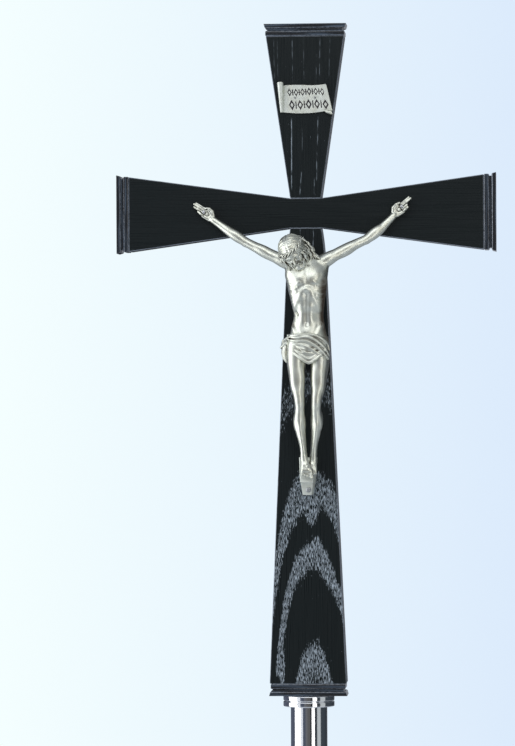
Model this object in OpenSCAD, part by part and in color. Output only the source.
// Processional cross: a waisted oak cross with a cast figure, on a tubular staff in two lengths.
// Origin at the centre of the staff's lower end, +Z up. The front of the cross faces -Y.
// The upper length stands in a socket in the lower one and lifts straight out of it.

/* [Overall] */
// Height from the staff's lower end to the top of the cross
total_h = 2100; // [2000:10:2300]
// Height of the cross without its staff, over its end caps
head_h = 550; // [535:5:570]
// Width of the cross over its end caps
span = 311; // [300:1:330]
// Distance from the top of the cross down to the middle of the crossbar
crossing_drop = 155; // [150:1:160]

/* [Boards] */
// Thickness of both boards
board_t = 24; // [20:1:28]
// Width of the upright at its waist
upright_waist = 25.4; // [24:0.2:28]
// Height of the crossbar at its waist
bar_waist = 24.4; // [23:0.2:27]
// Width of the upright at its top end
top_w = 64.2; // [60:0.2:68]
// Height of the crossbar at its two ends
side_w = 61.2; // [58:0.2:66]
// Width of the upright at its lower end
foot_w = 63; // [61:0.2:64]
// How quickly the upright's lower arm widens, per millimetre of its length
lower_flare = 0.0896; // [0.085:0.001:0.09]

/* [End caps] */
// Thickness of the plate against the board
plate_t = 4.4; // [3.5:0.1:5]
// Thickness of the recessed neck plate
neck_t = 2; // [1.5:0.1:3]
// Thickness of the outer cover plate
cover_t = 3.6; // [3:0.1:5]
// How far the first plate stands out past the board, on each side
plate_lip = 0.3; // [0.2:0.1:1]
// Width of the board that the lower end's plates are cut for
foot_cap_w = 60.8; // [58:0.2:64]
// How far the neck plate is set back from the board's side, on each side
neck_inset = 1.2; // [0.8:0.1:2]
// How far the cover plate stands out past the board, on each side
cover_lip = 1.2; // [0.8:0.1:2]
// Chamfer on the plates' long edges
cap_chamfer = 0.7; // [0.4:0.1:1]

/* [Staff] */
// Outer diameter of the upper tube
upper_od = 30; // [28:0.5:30]
// Wall of the upper tube
upper_wall = 1.5; // [1.2:0.1:2]
// Outer diameter of the lower tube
lower_od = 37; // [36.5:0.5:38]
// Wall of the lower tube
lower_wall = 2; // [1.5:0.1:2.2]
// Outer diameter of the flange under the cross and of the joint collar
ring_od = 42; // [40:0.5:44]
// Height of the flange under the cross
flange_h = 9; // [7:0.5:12]
// Height of the joint collar
collar_h = 14; // [12:0.5:18]
// Length of bare tube above the grip, and again below it
bare_tube = 163; // [140:1:180]
// Outer diameter of the wooden grip
grip_od = 38; // [36:0.5:40]
// Length of the wooden grip
grip_len = 322; // [280:1:340]
// Height of each ring at the grip's ends
grip_ring_h = 8; // [6:0.5:10]
// How deep the upper length stands in the lower one
socket_depth = 150; // [120:5:180]

/* [Figure and scroll] */
// Distance from the top of the cross down to the middle of the scroll
scroll_drop = 62; // [56:1:68]
// Width of the scroll between its rolled edges
scroll_w = 41; // [36:1:44]
// Height of the scroll's sheet
scroll_h = 24; // [20:1:28]
// Diameter of the pins that fix the figure's hands and the scroll
pin_d = 1.6; // [1.2:0.1:2]

/* [Hidden] */
$fn = 96;
eps = 0.01;

// Heights of the cross
cap_t = plate_t + neck_t + cover_t;
head_z = total_h - head_h;
cross_z = total_h - crossing_drop;
wood_top = total_h - cap_t;
wood_foot = head_z + cap_t;
wood_half = span / 2 - cap_t;
face_y = -board_t / 2;

// How much wider the cover plates are at their outer face, on each side
cover_flare = 0.8;

// Heights of the staff
tube_top = head_z - flange_h;
grip_top = tube_top - bare_tube - grip_ring_h;
grip_foot = grip_top - grip_len;
collar_top = grip_foot - grip_ring_h - bare_tube;
collar_z = collar_top - collar_h;
socket_z = collar_top - socket_depth;

// Radii of the staff
upper_r = upper_od / 2;
upper_bore = upper_r - upper_wall;
lower_r = lower_od / 2;
lower_bore = lower_r - lower_wall;
ring_r = ring_od / 2;
slide_gap = 0.06;

// Joint between the cross and the staff
stud_r = 5;
stud_clear = 0.25;
insert_r = 8;
insert_len = 32;
plug_len = 40;

// Fixings
screw_r = 1.75;
screw_head_r = 3.2;
screw_len = 24;
screw_point = 3;
screw_pitch = 38;
pin_r = pin_d / 2;

// Colours
oak = "#1d2023";
lacquer = "#12151a";
chrome = "#c9ced4";
silver = "#c4c2b4";
steel = "#9a9fa5";
brass = "#b79a56";
nylon = "#3a3d40";
rubber = "#17181a";

// ---- Boards ----

// The lower arm's sides are straight, but for a dip where they run in to the waist.
low_len = cross_z - wood_foot;
waist_dip = foot_w - (low_len - bar_waist / 2) * lower_flare - upright_waist;
dip_reach = 15;

// Half of the upright's width at a distance s below the middle of the crossbar.
function lower_half(s) =
    (foot_w - (low_len - s) * lower_flare - waist_dip * exp(-(s - bar_waist / 2) / dip_reach)) / 2;

// Outline of the upright, seen from the front with the crossing's middle at the origin.
module upright_outline() {
    steps = 28;
    start = bar_waist / 2;
    right = [for (i = [0:steps]) let (s = start + (low_len - start) * pow(i / steps, 1.7)) [lower_half(s), -s]];
    left = [for (i = [steps:-1:0]) [-right[i][0], right[i][1]]];
    top = wood_top - cross_z;
    polygon(concat(
        [[-top_w / 2, top], [top_w / 2, top], [upright_waist / 2, start]],
        right, left,
        [[-upright_waist / 2, start]]
    ));
}

// Outline of the crossbar, seen from the front with its middle at the origin.
module crossbar_outline() {
    flat = upright_waist / 2;
    polygon([
        [-wood_half, side_w / 2], [-flat, bar_waist / 2], [flat, bar_waist / 2], [wood_half, side_w / 2],
        [wood_half, -side_w / 2], [flat, -bar_waist / 2], [-flat, -bar_waist / 2], [-wood_half, -side_w / 2]
    ]);
}

// A front-view outline made into a board from y0 to y1.
module board(y0, y1) {
    translate([0, y1, cross_z]) rotate([90, 0, 0]) linear_extrude(y1 - y0) children();
}

module upright() {
    color(oak) difference() {
        board(face_y, -face_y) upright_outline();
        board(face_y - 1, 0) crossbar_outline();
        translate([0, 0, wood_foot - 1]) cylinder(r = insert_r, h = insert_len + 1);
        translate([0, 0, wood_foot]) cylinder(r = stud_r + stud_clear, h = insert_len + stud_over + 4);
        cap_screws();
        foot_rest_screw();
        titulus_pins();
    }
}

module crossbar() {
    color(oak) difference() {
        board(face_y, -face_y) crossbar_outline();
        board(0, board_t) upright_outline();
        cap_screws();
        palm_nails();
    }
}

// ---- End caps ----

// A plate w wide, d deep and t thick, standing on z = 0, with chamfered long edges on all four sides.
// low and high say which of its two faces is chamfered, and flare widens it towards the top.
module cap_plate(w, d, t, low, high, flare = 0) {
    intersection() {
        translate([0, d, 0]) rotate([90, 0, 0]) linear_extrude(2 * d) plate_profile(w, t, low, high, flare);
        translate([-w, 0, 0]) rotate([90, 0, 90]) linear_extrude(2 * w) plate_profile(d, t, low, high, 0);
    }
}

module plate_profile(w, t, low, high, flare) {
    c0 = low ? cap_chamfer : 0;
    c1 = high ? cap_chamfer : 0;
    polygon([
        [-w / 2 + c0, 0], [w / 2 - c0, 0], [w / 2, c0],
        [w / 2 + flare, t - c1], [w / 2 + flare - c1, t],
        [-w / 2 - flare + c1, t], [-w / 2 - flare, t - c1], [-w / 2, c0]
    ]);
}

// Places its children on one end of the cross, with z pointing out of the board's end.
module at_end(side) {
    if (side == "top") translate([0, 0, wood_top]) children();
    if (side == "foot") translate([0, 0, wood_foot]) rotate([180, 0, 0]) children();
    if (side == "left") translate([-wood_half, 0, cross_z]) rotate([0, -90, 0]) children();
    if (side == "right") translate([wood_half, 0, cross_z]) rotate([0, 90, 0]) children();
}

function end_width(side) = side == "top" ? top_w : side == "foot" ? foot_cap_w : side_w;

// The hole for the stud, through the lower end's plates.
module stud_hole(side) {
    if (side == "foot") translate([0, 0, wood_foot - cap_t - 1])
        cylinder(r = stud_r + stud_clear, h = cap_t + 2);
}

module end_plate(side) {
    color(lacquer) difference() {
        at_end(side) cap_plate(end_width(side) + 2 * plate_lip, board_t + 2 * plate_lip, plate_t, true, true);
        cap_screws();
        stud_hole(side);
    }
}

module end_neck(side) {
    color(lacquer) difference() {
        at_end(side) translate([0, 0, plate_t])
            cap_plate(end_width(side) - 2 * neck_inset, board_t - 2 * neck_inset, neck_t, false, false);
        cap_screws();
        stud_hole(side);
    }
}

module end_cover(side) {
    color(lacquer) difference() {
        at_end(side) translate([0, 0, plate_t + neck_t])
            cap_plate(end_width(side) + 2 * (cover_lip - cover_flare) + cover_flare, board_t + 2 * cover_lip,
                cover_t, true, false, cover_flare);
        stud_hole(side);
    }
}

// Two countersunk screws in each end, flush with the neck plate's outer face.
module cap_screws() {
    color(steel) for (side = ["top", "foot", "left", "right"]) at_end(side)
        for (x = [-screw_pitch / 2, screw_pitch / 2])
            translate([x, 0, plate_t + neck_t]) rotate_extrude() polygon([
                [0, 0], [screw_head_r, 0], [screw_r, screw_r - screw_head_r],
                [screw_r, screw_point - screw_len], [0, -screw_len]
            ]);
}

// ---- Figure ----
// The figure's own frame has its origin on the board's face at the middle of the crossbar.
// Each ball is [x, y, z, radius]; y is negative towards the viewer.

module in_figure_frame() {
    translate([0, face_y, cross_z]) children();
}

module ball(b, flat = [1, 1, 1]) {
    translate([b[0], b[1], b[2]]) scale(flat) sphere(r = b[3], $fn = 16);
}

// A run of balls, each joined to the next one.
module chain(balls) {
    for (i = [0:len(balls) - 2]) hull() {
        ball(balls[i]);
        ball(balls[i + 1]);
    }
}

// Shoulder, middle of the upper arm, elbow, forearm, wrist, palm and fingertips.
left_arm = [
    [-15.5, -12, -43, 5.6], [-31, -10.5, -34.5, 4.3], [-48, -9, -24, 3.7], [-57, -8, -18, 4.1],
    [-76, -4.4, -4.5, 2.5], [-82.5, -3.5, 0.6, 3.4], [-91.5, -2.4, 7, 1.9]
];
right_arm = [
    [15.5, -12, -41.5, 5.6], [31, -10.5, -33, 4.3], [48, -9, -22, 3.7], [56, -8, -16.5, 4.1],
    [72.4, -4.4, -1.5, 2.5], [78, -3.5, 3.8, 3.4], [87, -2.4, 11, 1.9]
];
// Hip, thigh, knee, calf, ankle.
left_leg = [
    [-6.9, -13.5, -113, 8], [-7.1, -15.5, -130, 6.6], [-4.7, -19.5, -156, 4.3], [-4.9, -16.5, -168, 4.8],
    [-2.1, -14.5, -195, 2.7]
];
right_leg = [
    [11.2, -13.5, -113, 8], [11.3, -14.8, -130, 6.6], [8.9, -18, -156, 4.3], [8.9, -14, -168, 4.8],
    [6.4, -10.5, -195, 2.7]
];
// Heel, instep and toes; the figure's right foot lies over the left one.
left_foot = [[-2.2, -13.6, -198, 3], [-0.5, -17, -207, 3.2], [0.8, -17.5, -214.5, 3]];
right_foot = [[6.2, -9.6, -199, 2.8], [5.3, -12.6, -207, 2.8], [4.6, -13.5, -213, 2.5]];

module corpus() {
    color(silver) difference() {
        in_figure_frame() {
            chain(left_arm);
            chain(right_arm);
            chain(left_leg);
            chain(right_leg);
            chain(left_foot);
            chain(right_foot);
            torso();
            head();
            loincloth();
        }
        board(face_y, board_t) square([2 * span, 3 * span], center = true);
        foot_rest();
        foot_rest_screw();
        palm_nails();
    }
}

module torso() {
    hull() {
        ball([0.6, -14.5, -50, 15], [1, 0.62, 0.6]);
        ball([0.8, -15, -62, 15.2], [1, 0.68, 0.8]);
    }
    hull() {
        ball([0.8, -15, -62, 15], [1, 0.68, 0.8]);
        ball([2, -13.5, -82, 12.2], [1, 0.66, 0.6]);
    }
    hull() {
        ball([2, -13.5, -82, 12.2], [1, 0.66, 0.6]);
        ball([2, -13.5, -104, 15], [1, 0.62, 0.5]);
    }
    for (arm = [left_arm, right_arm]) hull() {
        ball(arm[0]);
        ball([0.6, -14, -54, 13], [1, 0.6, 0.6]);
    }
}

module head() {
    chain([[1.5, -13, -44, 5.6], [-4, -18, -38, 6]]);
    hull() {
        ball([-9.4, -26, -30.4, 11.8], [1, 1.18, 1.04]);
        ball([-7, -29, -42, 6]);
    }
    hull() {
        ball([-5, -16.5, -30, 9.5]);
        ball([2, -12, -42, 5]);
    }
}

module loincloth() {
    hull() {
        ball([1.6, -14, -103.5, 16.6], [1, 0.66, 0.28]);
        ball([2, -14, -114, 17.4], [1, 0.62, 0.34]);
    }
    hull() {
        ball([1.6, -15, -112, 14], [1, 0.6, 0.4]);
        ball([1.4, -15, -121, 3]);
    }
    chain([[-15.5, -13, -106, 3.2], [-18.6, -11.5, -111, 2.6], [-16.8, -10, -121.5, 1.8]]);
}

// One domed nail through each palm into the crossbar.
palms = [[-83, 1.2], [78.8, 4.6]];
nail_len = 16;
nail_top = 7.4;
module palm_nails() {
    color(steel) in_figure_frame() for (p = palms) translate([p[0], -nail_top, p[1]]) rotate([-90, 0, 0]) {
        cylinder(r = pin_r, h = nail_len);
        rotate_extrude() polygon([[0, -0.5], [0.9, -0.3], [1.5, 0.4], [1.5, 0.8], [0, 0.8]]);
    }
}

// Block under the feet: an upper step that they rest on, and a lower one with its screw.
rest_top = -199.6;
rest_ledge = -220;
rest_low = -230.4;
rest_screw_z = -226;
rest_screw_x = 1.6;
rest_screw_r = 1.25;
rest_screw_len = 22;
rest_screw_top = 9;
module foot_rest() {
    color(silver) in_figure_frame() difference() {
        union() {
            rest_step([-6.6, 9], rest_top, [-4.8, 7], rest_ledge, 9.6, 13);
            rest_step([-4.6, 6.8], rest_ledge, [-3, 5.2], rest_low, 8, 6);
        }
        translate([rest_screw_x, 1, rest_screw_z]) rotate([90, 0, 0]) cylinder(r = rest_screw_r, h = 20);
    }
}

// One step of the block, tapering from the width x0 at z0 to x1 at z1, y0 and y1 thick there.
module rest_step(x0, z0, x1, z1, y0, y1) {
    intersection() {
        rotate([90, 0, 0]) linear_extrude(max(y0, y1))
            polygon([[x0[0], z0], [x0[1], z0], [x1[1], z1], [x1[0], z1]]);
        translate([-span, 0, 0]) rotate([90, 0, 90]) linear_extrude(2 * span)
            polygon([[0, z0], [-y0, z0], [-y1, z1], [0, z1]]);
    }
}

module foot_rest_screw() {
    color(steel) in_figure_frame() translate([rest_screw_x, -rest_screw_top, rest_screw_z])
    rotate([-90, 0, 0]) difference() {
        union() {
            cylinder(r = rest_screw_r, h = rest_screw_len);
            rotate_extrude() polygon([[0, 0], [1.5, 0.1], [2.2, 0.9], [2.2, 1.4], [0, 1.4]]);
        }
        translate([-3, -0.3, -eps]) cube([6, 0.6, 0.6]);
    }
}

// ---- Scroll over the figure ----

scroll_t = 1.4;
roll_r = 2.4;
module titulus_scroll() {
    w = scroll_w / 2;
    h = scroll_h / 2;
    color(silver) difference() {
        translate([0, face_y, total_h - scroll_drop]) {
            rotate([90, 0, 0]) linear_extrude(scroll_t) polygon([
                [-w, h - 0.4], [w - 3.2, h + 0.4], [w + 0.4, 2 - h], [0, -h], [1.6 - w, 1 - h]
            ]);
            scroll_roll([-w, h + 0.8], [1.8 - w, 0.6 - h], roll_r);
            scroll_roll([w - 1, 3.4 - h], [w - 0.4, -h - 1.6], roll_r);
        }
        titulus_pins();
    }
}

// A rolled edge of the scroll from one point of the front view to another.
module scroll_roll(a, b, r) {
    d = b - a;
    translate([a[0], -r, a[1]]) rotate([0, atan2(d[0], d[1]), 0]) cylinder(r = r, h = norm(d));
}

scroll_pin_len = 12;
scroll_pin_rise = 1.2;
module titulus_pins() {
    color(steel) for (x = [-scroll_w / 5, scroll_w / 5])
        translate([x, face_y - scroll_t, total_h - scroll_drop + scroll_pin_rise]) rotate([-90, 0, 0]) {
            cylinder(r = pin_r, h = scroll_pin_len);
            translate([0, 0, -0.7]) cylinder(r1 = 0.5, r2 = 1.1, h = 0.7);
        }
}

// ---- Joint between the cross and the staff ----

module insert_nut() {
    color(brass) translate([0, 0, wood_foot]) difference() {
        cylinder(r = insert_r, h = insert_len);
        translate([0, 0, -1]) cylinder(r = stud_r, h = insert_len + 2);
    }
}

// Threaded rod from the plug in the tube, through the flange and the lower end's plates, into the insert.
plug_web = 8;
stud_over = 6;
module neck_stud() {
    color(steel) translate([0, 0, tube_top - plug_len + plug_web])
        cylinder(r = stud_r, h = plug_len - plug_web + flange_h + cap_t + insert_len + stud_over);
}

// Turned flange of two beads with a groove between them.
module neck_flange() {
    h = flange_h;
    groove = 0.8;
    bead = (h - groove) / 2;
    edge = 0.7;
    hole_r = stud_r + stud_clear;
    groove_r = ring_r - 1.2;
    color(chrome) translate([0, 0, tube_top]) rotate_extrude() polygon([
        [hole_r, 0], [ring_r - edge, 0], [ring_r, edge], [ring_r, bead - edge], [ring_r - edge, bead],
        [groove_r, bead], [groove_r, bead + groove],
        [ring_r - edge, bead + groove], [ring_r, bead + groove + edge],
        [ring_r, h - edge], [ring_r - edge, h], [hole_r, h]
    ]);
}

// Plug in the top of the upper tube, with the thread that takes the stud.
module head_plug() {
    color(steel) translate([0, 0, tube_top - plug_len]) difference() {
        cylinder(r = upper_bore, h = plug_len);
        translate([0, 0, plug_web]) cylinder(r = stud_r, h = plug_len);
    }
}

// ---- Upper length of the staff ----

module tube(r, bore, z0, z1) {
    translate([0, 0, z0]) difference() {
        cylinder(r = r, h = z1 - z0);
        translate([0, 0, -1]) cylinder(r = bore, h = z1 - z0 + 2);
    }
}

nose_h = 8;
module upper_tube() {
    color(chrome) difference() {
        tube(upper_r, upper_bore, socket_z + nose_h, tube_top);
        ring_grub_screws();
    }
}

module grip_sleeve() {
    r = grip_od / 2;
    edge = 1;
    color(oak) translate([0, 0, grip_foot]) rotate_extrude() polygon([
        [upper_r, 0], [r - edge, 0], [r, edge],
        [r, grip_len - edge], [r - edge, grip_len], [upper_r, grip_len]
    ]);
}

// Ring that closes one end of the grip: a bead with a stepped lip towards the wood.
grub_r = 1.5;
grub_z = 5.2;
module grip_ring() {
    r = grip_od / 2 - 1;
    h = grip_ring_h;
    difference() {
        rotate_extrude() polygon([
            [upper_r, 0], [r, 0], [r, 1.6], [r - 0.9, 2], [r - 0.9, 2.8], [r, 3.2],
            [r, h - 1], [r - 0.3, h - 0.3], [r - 1, h], [upper_r, h]
        ]);
        translate([0, 0, grub_z]) rotate([-90, 0, 0]) cylinder(r = grub_r, h = ring_od);
    }
}

module grip_top_ring() {
    color(chrome) translate([0, 0, grip_top]) grip_ring();
}

module grip_bottom_ring() {
    color(chrome) translate([0, 0, grip_foot]) mirror([0, 0, 1]) grip_ring();
}

// One grub screw at the back of each ring, with its point in the tube's wall.
grub_key_r = 0.75;
grub_sink = 0.6;
module ring_grub_screws() {
    inner = upper_r - grub_sink;
    outer = grip_od / 2 - 1.8;
    color(steel) for (z = [grip_top + grub_z, grip_foot - grub_z])
        translate([0, 0, z]) rotate([-90, 0, 0]) difference() {
            translate([0, 0, inner]) cylinder(r = grub_r, h = outer - inner);
            translate([0, 0, outer - 0.8]) cylinder(r = grub_key_r, h = 3, $fn = 6);
        }
}

// Plug in the lower end of the upper tube. Its chamfered nose stands on the washer in the socket.
spigot_len = 34;
nose_chamfer = 1.6;
nose_r = upper_r - 0.2;
module spigot_plug() {
    color(steel) translate([0, 0, socket_z]) rotate_extrude() polygon([
        [0, 0], [nose_r - nose_chamfer, 0], [nose_r, nose_chamfer], [nose_r, nose_h],
        [upper_bore, nose_h], [upper_bore, nose_h + spigot_len], [0, nose_h + spigot_len]
    ]);
}

// ---- Lower length of the staff ----

// The tube is turned down under the collar, so the collar sits on a shoulder.
collar_lip = 3;
shoulder = 0.5;
module joint_collar() {
    h = collar_h;
    color(chrome) translate([0, 0, collar_z]) rotate_extrude() polygon([
        [lower_r - shoulder, 0], [lower_r + 0.6, 0], [lower_r + 1.2, 1.2], [ring_r - 1.4, h - 8],
        [ring_r - 0.9, h - 7.2], [ring_r, h - 6],
        [ring_r, h - 1.6], [ring_r - 0.5, h - 0.5], [ring_r - 1.6, h],
        [upper_r + 0.25, h], [upper_r + 0.25, h - collar_lip], [lower_r - shoulder, h - collar_lip]
    ]);
}

bush_top_len = 45;
bush_low_len = 30;
module bush(z, len) {
    color(nylon) tube(lower_bore, upper_r + slide_gap, z, z + len);
}

module socket_bush_top() {
    bush(collar_top - collar_lip - bush_top_len, bush_top_len);
}

module socket_bush_bottom() {
    bush(socket_z + nose_h, bush_low_len);
}

// Loose washer in the bottom of the socket, which carries the upper length and lets it turn.
washer_t = 3;
washer_r = nose_r;
module seat_washer() {
    color(nylon) translate([0, 0, socket_z - washer_t]) difference() {
        cylinder(r = washer_r, h = washer_t);
        translate([0, 0, -1]) cylinder(r = stud_r, h = washer_t + 2);
    }
}

seat_len = 30;
module seat_plug() {
    color(steel) translate([0, 0, socket_z - washer_t - seat_len]) cylinder(r = lower_bore, h = seat_len);
}

module lower_tube() {
    color(chrome) {
        difference() {
            union() {
                cylinder(r = lower_r, h = collar_z);
                cylinder(r = lower_r - shoulder, h = collar_top - collar_lip);
            }
            translate([0, 0, -1]) cylinder(r = lower_bore, h = collar_top);
        }
    }
}

// Ribbed plug that closes the staff's lower end, flush with it.
foot_plug_len = 38;
foot_plug_head = 8;
foot_plug_ribs = 4;
module foot_plug() {
    core_r = lower_bore - 2;
    pitch = (foot_plug_len - foot_plug_head) / foot_plug_ribs;
    color(rubber) union() {
        cylinder(r = lower_bore, h = foot_plug_head);
        cylinder(r = core_r, h = foot_plug_len);
        for (i = [0:foot_plug_ribs - 1]) translate([0, 0, foot_plug_head + (i + 0.4) * pitch])
            cylinder(r1 = lower_bore, r2 = core_r, h = 0.6 * pitch);
    }
}

upright();
crossbar();
end_plate("top");  // top_cap_plate
end_neck("top");  // top_cap_neck
end_cover("top");  // top_cap_cover
end_plate("left");  // left_cap_plate
end_neck("left");  // left_cap_neck
end_cover("left");  // left_cap_cover
end_plate("right");  // right_cap_plate
end_neck("right");  // right_cap_neck
end_cover("right");  // right_cap_cover
end_plate("foot");  // foot_cap_plate
end_neck("foot");  // foot_cap_neck
end_cover("foot");  // foot_cap_cover
cap_screws();
corpus();
palm_nails();
foot_rest();
foot_rest_screw();
titulus_scroll();
titulus_pins();
insert_nut();
neck_stud();
neck_flange();
head_plug();
upper_tube();
grip_top_ring();
grip_sleeve();
grip_bottom_ring();
ring_grub_screws();
spigot_plug();
seat_washer();
joint_collar();
socket_bush_top();
socket_bush_bottom();
seat_plug();
lower_tube();
foot_plug();
